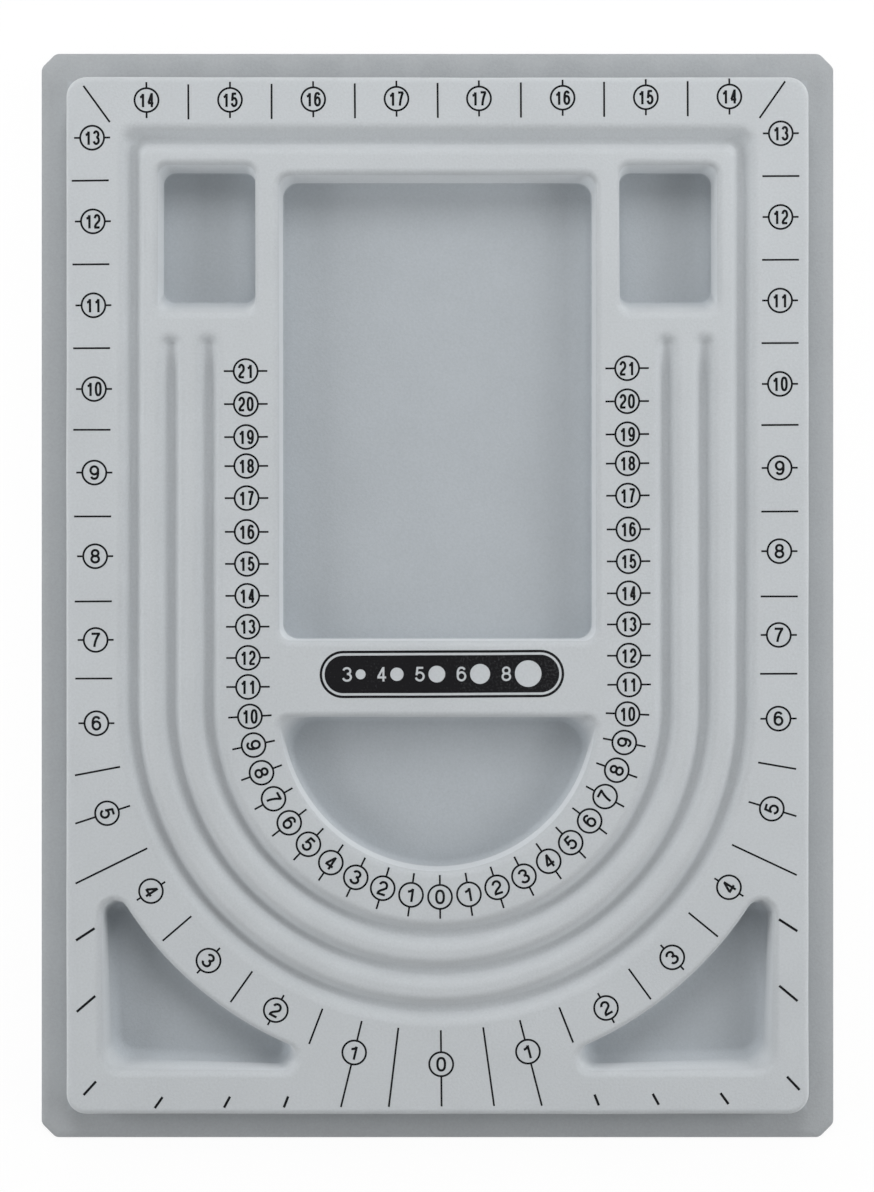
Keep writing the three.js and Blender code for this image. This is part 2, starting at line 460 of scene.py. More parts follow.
@dataclass(frozen=True)
class Facets:
    """Fineness of the meshes: steps along rounds, and lengths along sides and level faces."""

    corner: int = 10
    arc: int = 110
    bin_arc: int = 48
    channel_end: int = 16
    section: int = 7
    flank: int = 4
    ring: int = 48
    dot: int = 40
    pill_end: int = 24
    side: float = 4.0
    flat: float = 5.0
    guard: float = 0.2


FACETS = Facets()


class Outline(ABC):
    """A closed outline of arcs, run through anticlockwise, with straight sides between them."""

    @abstractmethod
    def arcs(self, inset: float, rounding: float, lead: float) -> list[Arc]:
        """The arcs of the outline.

        Args:
            inset: how far the outline lies inside the sharp mouth.
            rounding: radius of its corners.
            lead: how far its lower side or its square corner lies further out.

        Returns:
            The arcs in order.
        """

    @cached_property
    def side_steps(self) -> list[int]:
        """Number of steps along each straight side, taken at the mouth with small corners."""
        runs = [arc.points() for arc in self.arcs(inset=0.0, rounding=1.0, lead=0.0)]
        gaps = [np.linalg.norm(b[0] - a[-1]) for a, b in zip(runs, runs[1:] + runs[:1])]
        return [max(1, round(gap / FACETS.side)) for gap in gaps]

    def ring(self, inset: float, rounding: float, lead: float = 0.0) -> np.ndarray:
        """Points round the outline.

        Args:
            inset: as for the arcs.
            rounding: likewise.
            lead: likewise.

        Returns:
            An array of points, as many for every inset.
        """
        runs = [arc.points() for arc in self.arcs(inset, rounding, lead)]
        stretches = []
        for run, after, steps in zip(runs, runs[1:] + runs[:1], self.side_steps):
            stretches += [run, np.linspace(run[-1], after[0], steps + 1)[1:-1]]
        return np.concatenate(stretches)


@dataclass(frozen=True)
class Rectangle(Outline):
    """A rectangle with rounded corners."""

    west: float
    east: float
    south: float
    north: float

    def arcs(self, inset: float, rounding: float, lead: float) -> list[Arc]:
        """Four corners, as the base class says."""
        reach = inset + rounding
        west, east = self.west + reach, self.east - reach
        south, north = self.south - lead + reach, self.north - reach
        places = [(east, north), (west, north), (west, south), (east, south)]
        return [
            Arc(x, y, rounding, turn * QUARTER, (turn + 1) * QUARTER, FACETS.corner)
            for turn, (x, y) in enumerate(places)
        ]


@dataclass(frozen=True)
class CutRectangle(Outline):
    """A rectangle whose corners are cut off at 45 degrees, with the cut's ends slightly rounded."""

    half_width: float
    half_length: float
    cut: float

    def arcs(self, inset: float, rounding: float, lead: float) -> list[Arc]:
        """Two small arcs at each corner, as the base class says."""
        eighth = QUARTER / 2
        back = rounding * math.tan(eighth / 2)
        x, y = self.half_width - inset, self.half_length - inset
        cut = self.cut - inset * math.tan(eighth / 2)
        near = [(x - rounding, y - cut - back), (x - cut - back, y - rounding)]
        arcs = []
        for turn, (across, along) in enumerate([(1, 1), (-1, 1), (-1, -1), (1, -1)]):
            pair = near if across * along > 0 else near[::-1]
            for half, (px, py) in enumerate(pair):
                start = turn * QUARTER + half * eighth
                sweep = start, start + eighth, FACETS.corner // 2
                arcs.append(Arc(across * px, along * py, rounding, *sweep))
        return arcs


@dataclass(frozen=True)
class HalfRound(Outline):
    """A disc cut off by a straight side at the top."""

    centre_y: float
    disc: float
    top: float

    def arcs(self, inset: float, rounding: float, lead: float) -> list[Arc]:
        """Two corners and the round side, as the base class says."""
        y = self.top - inset - rounding
        x = math.sqrt((self.disc - inset - rounding) ** 2 - (y - self.centre_y) ** 2)
        lean = math.atan2(y - self.centre_y, x)
        return [
            Arc(x, y, rounding, lean, QUARTER, FACETS.corner),
            Arc(-x, y, rounding, QUARTER, math.pi - lean, FACETS.corner),
            Arc(0, self.centre_y, self.disc - inset, math.pi - lean, TURN + lean, FACETS.bin_arc),
        ]


@dataclass(frozen=True)
class HollowTriangle(Outline):
    """Two square sides and a side that bulges inwards, in the lower left corner or mirrored.

    The lead that is left out at the floor slants both square sides, which pulls in their corner.
    """

    side: Side
    reach: float
    south: float
    centre_y: float
    bulge: float
    square_extra: float
    slant: float

    def arcs(self, inset: float, rounding: float, lead: float) -> list[Arc]:
        """A square corner, two tips and the bulging side, as the base class says."""
        square = rounding + self.square_extra
        bulge = self.bulge + inset
        low_y = self.south + inset + rounding
        low_x = -math.sqrt((bulge + rounding) ** 2 - (low_y - self.centre_y) ** 2)
        high_x = -self.reach + inset + rounding
        high_y = self.centre_y - math.sqrt((bulge + rounding) ** 2 - high_x**2)
        low = math.atan2(self.centre_y - low_y, -low_x)
        high = math.atan2(self.centre_y - high_y, -high_x)
        back = inset + square + self.slant - lead
        left = [
            Arc(-self.reach + back, self.south + back, square, math.pi, 3 * QUARTER, FACETS.corner),
            Arc(low_x, low_y, rounding, -QUARTER, low, FACETS.corner),
            Arc(0, self.centre_y, bulge, math.pi + low, math.pi + high, FACETS.bin_arc),
            Arc(high_x, high_y, rounding, high, math.pi, FACETS.corner),
        ]
        return left if self.side is Side.LEFT else [arc.mirrored() for arc in left[::-1]]


@dataclass(frozen=True)
class OpenChannel(Outline):
    """A channel with two open arms, whose inset counts from its centre line outwards, negated."""

    centre_y: float
    radius: float
    end_y: float

    def arcs(self, inset: float, rounding: float, lead: float) -> list[Arc]:
        """Both sides of the bend and both round ends, as the base class says."""
        half = -inset
        return [
            Arc(0, self.centre_y, self.radius + half, math.pi, TURN, FACETS.arc),
            Arc(self.radius, self.end_y, half, 0, math.pi, FACETS.channel_end),
            Arc(0, self.centre_y, self.radius - half, TURN, math.pi, FACETS.arc),
            Arc(-self.radius, self.end_y, half, 0, math.pi, FACETS.channel_end),
        ]


@dataclass(frozen=True)
class ClosedChannel(Outline):
    """The centre line of a closed channel, which an inset moves inwards."""

    centre_y: float
    radius: float
    top: float
    corner: float
    corner_growth: float

    def arcs(self, inset: float, rounding: float, lead: float) -> list[Arc]:
        """The bend and two upper corners, as the base class says."""
        side, corner = self.radius - inset, self.corner - self.corner_growth * inset
        x, y = side - corner, self.top - inset - corner
        return [
            Arc(0, self.centre_y, side, math.pi, TURN, FACETS.arc),
            Arc(x, y, corner, 0, QUARTER, FACETS.corner),
            Arc(-x, y, corner, QUARTER, math.pi, FACETS.corner),
        ]


def tangent_run(radius: float, draft: float) -> float:
    """Distance from the sharp meeting of a wall and a level face to where a round begins."""
    return radius * math.tan((QUARTER - draft) / 2)


@dataclass(frozen=True)
class Wall:
    """A formed wall: rounded edge, drafted flank and filleted foot."""

    depth: float
    draft: float
    foot: float
    edge: float

    @property
    def foot_run(self) -> float:
        """How far the level face at the foot begins from the sharp edge."""
        return self.depth * math.tan(self.draft) + tangent_run(self.foot, self.draft)

    @property
    def edge_run(self) -> float:
        """How far the rounded edge begins before the sharp one."""
        return tangent_run(self.edge, self.draft)

    def section(self, inside: float, foot_guard: float) -> np.ndarray:
        """Points down the wall.

        Args:
            inside: depth inside the layers, square to the face.
            foot_guard: length of the level stretch that is kept at the foot.

        Returns:
            An array of run from the sharp edge and drop below the face.
        """
        turned, steps = QUARTER - self.draft, FACETS.section
        edge, foot = self.edge - inside, self.foot + inside
        over = Arc(-self.edge_run, self.edge, edge, -QUARTER, turned - QUARTER, steps).points()
        low = self.depth - self.foot
        under = Arc(self.foot_run, low, foot, turned + QUARTER, QUARTER, steps).points()
        flank = np.linspace(over[-1], under[0], FACETS.flank + 1)[1:-1]
        points = [over[:1] - (FACETS.guard, 0), over, flank, under]
        if foot_guard > 0:
            points.append(under[-1:] + (foot_guard, 0))
        return np.concatenate(points)


@dataclass(frozen=True)
class Bin:
    """A recess for loose beads: mouth, wall, corners and their growth down it, and lead of a side."""

    mouth: Outline
    wall: Wall
    rounding: float
    gain: float
    lead: float = 0.0


@dataclass(frozen=True)
class Wobble:
    """The slight unevenness of formed sheet, as a smooth shift of every point."""

    shift: float = 0.16
    rise: float = 0.14
    span: float = 34.0
    seed: int = 23

    def moved(self, points: np.ndarray, height: float) -> np.ndarray:
        """Shifts points, those on the floor least.

        Args:
            points: an array of points.
            height: height of the panel, where the shift is full.

        Returns:
            The shifted points.
        """
        noise.seed_set(self.seed)
        spots = np.c_[points[:, :2] / self.span, np.zeros(len(points))]
        drift = np.array([noise.noise_vector(spot) for spot in spots.tolist()])
        lift = np.clip(points[:, 2:] / height, 0, 1)
        return points + drift * lift * (self.shift, self.shift, self.rise)


@dataclass(frozen=True)
class Layout:
    """Sizes of the board at the face of its flock, and the outlines that follow from them."""

    width: float
    length: float
    height: float
    sheet: float = 0.9
    film: float = 0.2
    flock: float = 0.5
    tool_edge: float = 0.3
    wall_draft: float = math.radians(3)
    bin_fillet: float = 0.4
    flange_side: float = 9.5
    flange_end: float = 9.85
    flange_cut: float = 4.3
    flange_cut_round: float = 2.6
    flange_fillet: float = 1.2
    panel_corner: float = 6.0
    inch_border_side: float = 14.95
    inch_border_top: float = 13.55
    inch_border_bottom: float = 26.05
    channel_count: int = 3
    channel_depth: float = 3.8
    channel_floor: float = 1.5
    channel_edge: float = 3.0
    channel_draft: float = math.radians(35)
    channel_ridge: float = 1.3
    channel_corner: float = 3.6
    channel_corner_growth: float = 0.2
    channel_end_gap: float = 4.5
    channel_run_out: float = 9.0
    channel_end_loss: float = 0.4
    centimetre_border: float = 16.0
    middle_bin_corner: float = 3.6
    middle_bin_gain: float = 1.6
    top_bin_margin: float = 5.6
    middle_band: float = 22.6
    half_round_drop: float = 3.3
    half_round_sink: float = 2.2
    half_round_foot: float = 1.8
    half_round_corner: float = 2.8
    half_round_gain: float = 7.0
    small_bin_rise: float = 3.0
    small_bin_length: float = 40.6
    small_bin_lead: float = 4.1
    small_bin_corner: float = 3.1
    small_bin_gain: float = 1.2
    small_bin_margin: float = 2.3
    small_bin_divider: float = 6.9
    corner_bin_side_margin: float = 10.4
    corner_bin_end_margin: float = 12.8
    corner_bin_border: float = 14.65
    corner_bin_corner: float = 6.4
    corner_bin_tip: float = 4.1
    corner_bin_slant: float = 1.7
    corner_bin_foot: float = 2.7
    corner_bin_gain: float = 0.8

    @property
    def stack(self) -> float:
        """Thickness of all layers."""
        return self.sheet + self.film + self.flock

    @property
    def rise(self) -> float:
        """Height of the panel's face above that of the flange."""
        return self.height - self.stack

    def full_wall(self, foot: float) -> Wall:
        """A wall from the panel's face down to the flange's, with a foot of some radius."""
        return Wall(self.rise, self.wall_draft, foot, self.tool_edge + self.stack)

    @cached_property
    def channel_wall(self) -> Wall:
        """One flank of a channel."""
        return Wall(self.channel_depth, self.channel_draft, self.channel_floor, self.channel_edge)

    @property
    def channel_half(self) -> float:
        """Half the width of a channel over its rounded edges."""
        return self.channel_wall.foot_run + self.channel_wall.edge_run

    @property
    def panel_x(self) -> float:
        """Half the width of the panel at its sharp edge."""
        return self.width / 2 - self.flange_side

    @property
    def panel_y(self) -> float:
        """Half the length of the panel at its sharp edge."""
        return self.length / 2 - self.flange_end

    @property
    def channel_radii(self) -> list[float]:
        """Radii of the channels' bends, from the outermost inwards."""
        outer = self.panel_x - self.inch_border_side - self.channel_half
        pitch = 2 * self.channel_half + self.channel_ridge
        return [outer - place * pitch for place in range(self.channel_count)]

    @property
    def arc_y(self) -> float:
        """Where the common centre of the bends lies on the middle line."""
        return -self.panel_y + self.inch_border_bottom + self.channel_half + self.channel_radii[0]

    @property
    def outer_top(self) -> float:
        """Where the outermost channel's upper run lies."""
        return self.panel_y - self.inch_border_top - self.channel_half

    @property
    def bin_top(self) -> float:
        """The upper side of the large bin's sharp mouth."""
        return self.outer_top - self.channel_half - self.top_bin_margin

    @property
    def small_bin_top(self) -> float:
        """The upper side of the small bins' sharp mouths."""
        return self.bin_top + self.small_bin_rise

    @property
    def channel_end(self) -> float:
        """Where the open channels' end rounds are centred."""
        gap = self.small_bin_length + self.small_bin_lead + self.channel_end_gap
        return self.small_bin_top - gap - self.channel_half

    @cached_property
    def flange(self) -> Outline:
        """The trimmed edge of the board."""
        return CutRectangle(self.width / 2, self.length / 2, self.flange_cut)

    @cached_property
    def panel(self) -> Outline:
        """The sharp edge of the panel."""
        return Rectangle(-self.panel_x, self.panel_x, -self.panel_y, self.panel_y)

    @cached_property
    def outer_channel(self) -> Outline:
        """The centre line of the outermost channel."""
        corner = self.channel_corner, self.channel_corner_growth
        return ClosedChannel(self.arc_y, self.channel_radii[0], self.outer_top, *corner)

    @cached_property
    def inner_channels(self) -> list[Outline]:
        """The channels with open arms."""
        return [OpenChannel(self.arc_y, radius, self.channel_end) for radius in self.channel_radii[1:]]

    @cached_property
    def corner_bins(self) -> list[Bin]:
        """The three-sided bins at the lower corners."""
        reach = self.panel_x - self.corner_bin_side_margin
        south = -self.panel_y + self.corner_bin_end_margin
        bulge = self.channel_radii[0] + self.channel_half + self.corner_bin_border
        extra = self.corner_bin_corner - self.corner_bin_tip
        slant = self.corner_bin_slant
        mouths = [HollowTriangle(side, reach, south, self.arc_y, bulge, extra, slant) for side in Side]
        wall = self.full_wall(self.corner_bin_foot)
        return [Bin(mouth, wall, self.corner_bin_tip, self.corner_bin_gain, slant) for mouth in mouths]

    @cached_property
    def middle_bins(self) -> list[Bin]:
        """The bins inside the outermost channel: two small ones, a large and a half-round one."""
        wall = self.full_wall(self.bin_fillet)
        x = self.channel_radii[-1] - self.channel_half - self.centimetre_border
        west = x + self.small_bin_divider
        east = self.channel_radii[0] - self.channel_half - self.small_bin_margin
        north = self.small_bin_top
        south = north - self.small_bin_length
        shape = self.small_bin_corner, self.small_bin_gain, self.small_bin_lead
        half_top = self.arc_y - self.half_round_drop
        large = Rectangle(-x, x, half_top + self.middle_band, self.bin_top)
        half = HalfRound(self.arc_y - self.half_round_sink, x, half_top)
        half_wall = self.full_wall(self.half_round_foot)
        return [
            Bin(Rectangle(-east, -west, south, north), wall, *shape),
            Bin(Rectangle(west, east, south, north), wall, *shape),
            Bin(large, wall, self.middle_bin_corner, self.middle_bin_gain),
            Bin(half, half_wall, self.half_round_corner, self.half_round_gain),
        ]


def strips(rings: Sequence[np.ndarray]) -> np.ndarray:
    """Triangles between rings of equal count, facing up where each lies outside the next.

    Args:
        rings: the rings in order.

    Returns:
        An array of triangles.
    """
    made = []
    for outer, inner in zip(rings, rings[1:]):
        outer_next, inner_next = np.roll(outer, -1, axis=0), np.roll(inner, -1, axis=0)
        made.append(np.stack([outer, outer_next, inner], axis=1))
        made.append(np.stack([outer_next, inner_next, inner], axis=1))
    return np.concatenate(made)


def covered(
    polygons: Sequence[Polygon], cuts: Sequence[Polygon], spots: Polygon
) -> tuple[np.ndarray, np.ndarray]:
    """Triangulates what some polygons cover and others leave.

    Args:
        polygons: the polygons that fill.
        cuts: the polygons that cut.
        spots: further points to use as corners.

    Returns:
        The points and the corners of each triangle, anticlockwise.
    """
    loops, corners = [], []
    for loop in [*polygons, *cuts]:
        loops.append(list(range(len(corners), len(corners) + len(loop))))
        corners += [(float(x), float(y)) for x, y in loop]
    corners += [(float(x), float(y)) for x, y in spots]
    made = delaunay_2d_cdt([Vector(c) for c in corners], [], loops, 0, NEAR, True)
    points = np.array([corners[same[0]] if same else tuple(p) for p, same in zip(made[0], made[3])])
    fills = len(polygons)
    kept = [face for face, sources in zip(made[2], made[5]) if sources and max(sources) < fills]
    return points, np.array(kept)


def spread(ring: np.ndarray, openings: Sequence[np.ndarray]) -> np.ndarray:
    """Points all over a level face, clear of its edges.

    Args:
        ring: the face's outer edge.
        openings: the edges of the openings in it.

    Returns:
        An array of points on a grid.
    """
    step = FACETS.flat
    ends = zip(ring.min(axis=0) + step / 2, ring.max(axis=0))
    axes = [np.arange(low, high, step) for low, high in ends]
    grid = np.stack(np.meshgrid(*axes), axis=-1).reshape(-1, 2)
    edges = np.concatenate([ring, *openings])
    gaps = np.array([np.min(np.hypot(*(edges - spot).T)) for spot in grid])
    return grid[gaps > step / 2]


@dataclass(frozen=True)
class Relief:
    """The relief of the board, as open surfaces at given depths inside its layers."""

    layout: Layout

    def ring(self, outline: np.ndarray, drop: float) -> np.ndarray:
        """An outline as points at a drop below the panel's face."""
        return np.c_[outline, np.full(len(outline), self.layout.height - drop)]

    def level(self, ring: np.ndarray, openings: Sequence[np.ndarray] = ()) -> np.ndarray:
        """Triangulates a level face.

        Args:
            ring: the face's outer edge.
            openings: the edges of the openings in it.

        Returns:
            An array of triangles, facing up.
        """
        flat = ring[:, :2]
        holes = [hole[:, :2] for hole in openings]
        points, corners = covered([flat], holes, spread(flat, holes))
        return np.c_[points, np.full(len(points), ring[0, 2])][corners]

    def bin_rings(self, recess: Bin, inside: float) -> list[np.ndarray]:
        """Rings down the wall of a bin, whose corners grow rounder towards its floor.

        Args:
            recess: the bin.
            inside: depth inside the layers.

        Returns:
            The rings from the deck to the floor.
        """
        rings = []
        for run, drop in recess.wall.section(inside, FACETS.guard):
            sunk = min(max(drop / self.layout.rise, 0.0), 1.0)
            rounding = recess.rounding + recess.gain * sunk - run
            rings.append(self.ring(recess.mouth.ring(run, rounding, recess.lead * (1 - sunk)), drop))
        return rings

    def run_out(self, ring: np.ndarray, inside: float) -> np.ndarray:
        """Lets an open channel grow shallower towards its ends.

        Args:
            ring: points along the channel.
            inside: depth inside the layers.

        Returns:
            The points, raised near the ends.
        """
        layout = self.layout
        face = layout.height - inside
        near = np.clip((ring[:, 1] - layout.channel_end) / layout.channel_run_out + 1, 0, 1)
        smooth = near**2 * (3 - 2 * near)
        left = 1 - layout.channel_end_loss * smooth
        return np.c_[ring[:, :2], face - (face - ring[:, 2]) * left]

    def skin(self, inside: float) -> tuple[np.ndarray, np.ndarray]:
        """The whole relief.

        Args:
            inside: depth inside the layers.

        Returns:
            Its triangles, facing up, and the foot ring of the panel, up to which the flange reaches.
        """
        layout = self.layout
        half = layout.channel_wall.foot_run
        flank = [(run - half, drop) for run, drop in layout.channel_wall.section(inside, 0.0)]
        both = flank + [(-run, drop) for run, drop in flank[::-1]]
        closed = [self.ring(layout.outer_channel.ring(run, 0.0), drop) for run, drop in both]
        arms = [
            [self.run_out(self.ring(channel.ring(run, 0.0), drop), inside) for run, drop in flank]
            for channel in layout.inner_channels
        ]
        corner = [self.bin_rings(recess, inside) for recess in layout.corner_bins]
        middle = [self.bin_rings(recess, inside) for recess in layout.middle_bins]
        wall = layout.full_wall(layout.flange_fillet).section(inside, FACETS.guard)
        rounding = layout.panel_corner
        panel = [self.ring(layout.panel.ring(-run, rounding + run), drop) for run, drop in wall[::-1]]
        faces = [
            strips(panel),
            self.level(panel[-1], [closed[0], *(rings[0] for rings in corner)]),
            strips(closed),
            self.level(closed[-1], [rings[0] for rings in [*arms, *middle]]),
            *(strips(rings) for rings in [*corner, *middle, *arms]),
            *(self.level(rings[-1]) for rings in [*corner, *middle]),
        ]
        return np.concatenate(faces), panel[0]


@dataclass
class FormedLayer:
    """One layer of the board: the closed body between two depths of its relief."""

    name: str
    node: str
    slot: str
    finish: Finish
    upper: float
    lower: float
    relief: Relief
    wobble: Wobble
    trim_round: float = 0.2
    crease: float = math.radians(50)

    def rim(self, inset: float, drop: float) -> np.ndarray:
        """The trimmed edge at an inset and a drop below the flange's face."""
        layout = self.relief.layout
        return self.relief.ring(layout.flange.ring(inset, layout.flange_cut_round), layout.rise + drop)

    def build(self) -> bpy.types.Object:
        """Builds the layer's mesh.

        Returns:
            The layer as an object.
        """
        top, top_foot = self.relief.skin(self.upper)
        bottom, bottom_foot = self.relief.skin(self.lower)
        trim = self.trim_round
        edge = [self.rim(0.0, self.lower), self.rim(0.0, self.upper + trim), self.rim(trim, self.upper)]
        faces = [
            top,
            self.relief.level(edge[-1], [top_foot]),
            bottom[:, ::-1],
            self.relief.level(edge[0], [bottom_foot])[:, ::-1],
            strips(edge),
        ]
        points, corners = welded(np.concatenate(faces))
        piece = placed(self.name, self.wobble.moved(points, self.relief.layout.height), corners)
        piece.data.shade_smooth()
        piece.data.set_sharp_from_angle(angle=self.crease)
        return piece

    def dress(self, piece: bpy.types.Object) -> None:
        """Gives the layer its finish and ties it to the frame.

        Args:
            piece: the layer's object.
        """
        piece.data.materials.append(self.finish.material())
        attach(piece, "root")
        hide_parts(self.node)


# Print


def ribbon(line: np.ndarray, width: float, closed: bool = False) -> list[np.ndarray]:
    """Widens a line into quadrilaterals with mitred joints.

    Args:
        line: points along the middle of the stroke.
        width: width of the stroke.
        closed: whether the last point joins the first.

    Returns:
        One quadrilateral for each step of the line.
    """
    ahead = np.roll(line, -1, axis=0) - line
    if not closed:
        ahead[-1] = ahead[-2]
    ahead /= np.linalg.norm(ahead, axis=1, keepdims=True)
    behind = np.roll(ahead, 1, axis=0)
    if not closed:
        behind[0] = ahead[0]
    bisector = ahead + behind
    normal = np.c_[-bisector[:, 1], bisector[:, 0]]
    normal /= np.linalg.norm(normal, axis=1, keepdims=True)
    square = np.c_[-ahead[:, 1], ahead[:, 0]]
    mitre = normal / np.maximum(np.sum(normal * square, axis=1, keepdims=True), LEAST_MITRE)
    left, right = line + mitre * width / 2, line - mitre * width / 2
    quads = np.stack([right, np.roll(right, -1, axis=0), np.roll(left, -1, axis=0), left], axis=1)
    return list(quads if closed else quads[:-1])


def bow(
    x: float, y: float, half_width: float, half_height: float, start: float, end: float, steps: int = 16
) -> np.ndarray:
    """Points along part of an ellipse round (x, y), between two angles in degrees."""
    turn = np.radians(np.linspace(start, end, steps + 1))
    return np.c_[x + half_width * np.cos(turn), y + half_height * np.sin(turn)]


def bend(*points: tuple[float, float], steps: int = 12) -> np.ndarray:
    """Points along a cubic curve with four control points."""
    t, (a, b, c, d) = np.linspace(0, 1, steps + 1)[:, None], np.array(points)
    return (1 - t) ** 3 * a + 3 * (1 - t) ** 2 * t * b + 3 * (1 - t) * t**2 * c + t**3 * d


def oval(start: float, end: float, steps: int = 32, fullness: float = 2.4) -> np.ndarray:
    """Points along the oval of a nought in a unit box: a superellipse, of which 2 gives an ellipse."""
    round_line = bow(0.0, 0.0, 1.0, 1.0, start, end, steps)
    return 0.5 + 0.5 * np.sign(round_line) * np.abs(round_line) ** (2 / fullness)


def line(*points: tuple[float, float]) -> np.ndarray:
    """A straight stroke of a numeral."""
    return np.array(points)


# A round head that runs on into a swung neck, and a round bowl with a back that sweeps over it.
NECK = bend((0.98, 0.66), (0.98, 0.42), (0.06, 0.34), (0.04, 0.0))
TWO = np.concatenate([bow(0.5, 0.70, 0.48, 0.30, 172, 0), NECK[1:]])
SIX = [bow(0.5, 0.32, 0.5, 0.32, 0, 360, 28), oval(38, 200, 18)]
NUMERALS: dict[str, list[np.ndarray]] = {
    "0": [oval(0, 360)],
    "1": [line((0.66, -0.07), (0.66, 1.0)), bend((0.02, 0.73), (0.36, 0.75), (0.58, 0.84), (0.66, 1.0))],
    "2": [TWO, line((-0.1, 0.0), (1.05, 0.0))],
    "3": [bow(0.47, 0.76, 0.46, 0.24, 168, -90), bow(0.48, 0.27, 0.52, 0.27, 90, -168)],
    "4": [
        line((0.72, -0.07), (0.72, 1.07)),
        line((0.68, 1.0), (0.02, 0.27)),
        line((-0.08, 0.25), (1.08, 0.25)),
    ],
    "5": [
        line((0.94, 1.0), (0.1, 1.0)),
        line((0.2, 1.05), (0.06, 0.42)),
        bow(0.48, 0.32, 0.52, 0.32, 148, -165),
    ],
    "6": SIX,
    "7": [line((-0.05, 1.0), (1.1, 1.0)), bend((0.98, 1.0), (0.66, 0.72), (0.38, 0.36), (0.32, -0.07))],
    "8": [bow(0.5, 0.755, 0.43, 0.245, 0, 360, 24), bow(0.5, 0.265, 0.5, 0.265, 0, 360, 24)],
    "9": [1.0 - stroke for stroke in SIX],
}


def spin(turn: float) -> np.ndarray:
    """The matrix that turns rows of flat points anticlockwise."""
    return np.array([[math.cos(turn), math.sin(turn)], [-math.sin(turn), math.cos(turn)]])


@dataclass(frozen=True)
class Lettering:
    """Sizes of the numbers on the board."""

    height: float = 4.4
    single_width: float = 2.95
    double_width: float = 2.1
    gap: float = 0.42
    stroke: float = 0.71

    def number(self, text: str, centre: Sequence[float], turn: float = 0.0) -> list[np.ndarray]:
        """Draws a number.

        Args:
            text: its digits.
            centre: where its middle lies.
            turn: angle that it is turned by, anticlockwise.

        Returns:
            The quadrilaterals of its strokes.
        """
        width = self.single_width if len(text) == 1 else self.double_width
        pitch = width + self.gap
        start = -(len(text) * pitch - self.gap) / 2
        box = np.array([width - self.stroke, self.height - self.stroke])
        quads = []
        for place, digit in enumerate(text):
            corner = np.array([start + place * pitch + self.stroke / 2, -box[1] / 2])
            for stroke in NUMERALS[digit]:
                path = corner + stroke * box
                closed = bool(np.allclose(path[0], path[-1]))
                path = path[:-1] if closed else path
                quads += ribbon(path @ spin(turn) + centre, self.stroke, closed)
        return quads


@dataclass(frozen=True)
class Press:
    """How the print sits on the flock: its height, and its slight turn and shift on the board."""

    layout: Layout
    wobble: Wobble
    turn: float = math.radians(0.4)
    shift: tuple[float, float] = (0.12, 0.0)
    proud: float = 0.03
    sunk: float = 0.1

    def slab(self, fills: Sequence[Polygon], cuts: Sequence[Polygon] = ()) -> np.ndarray:
        """Makes a thin closed slab of ink.

        Args:
            fills: polygons that are inked.
            cuts: polygons that are left bare.

        Returns:
            Its triangles, still flat and square to the board.
        """
        flat, corners = covered(fills, cuts, spread(np.concatenate(fills), cuts))
        heights = self.layout.height + self.proud, self.layout.height - self.sunk
        top, bottom = (np.c_[flat, np.full(len(flat), height)] for height in heights)
        sides = {(a, b) for face in corners.tolist() for a, b in zip(face, face[1:] + face[:1])}
        rim = [(a, b) for a, b in sides if (b, a) not in sides]
        walls = [(bottom[a], bottom[b], top[b]) for a, b in rim]
        walls += [(bottom[a], top[b], top[a]) for a, b in rim]
        return np.concatenate([top[corners], bottom[corners[:, ::-1]], np.array(walls)])

    def piece(self, name: str, slabs: Sequence[np.ndarray], finish: Finish) -> bpy.types.Object:
        """Prints slabs on the board as one piece.

        Args:
            name: the piece's name.
            slabs: the triangles of each slab.
            finish: the ink.

        Returns:
            The printed piece, tied to the frame.
        """
        points, corners = welded(np.concatenate(slabs))
        points[:, :2] = points[:, :2] @ spin(self.turn) + self.shift
        made = placed(name, self.wobble.moved(points, self.layout.height), corners)
        made.data.materials.append(finish.material())
        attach(made, "root")
        return made


def bar(start: Sequence[float], end: Sequence[float], width: float) -> list[np.ndarray]:
    """A straight stroke on the board."""
    return ribbon(np.array([start, end], dtype=float), width)


def disc(centre: Sequence[float], diameter: float, steps: int) -> np.ndarray:
    """A round dot as a polygon."""
    return Arc(centre[0], centre[1], diameter / 2, 0, TURN, steps).points()[:-1]


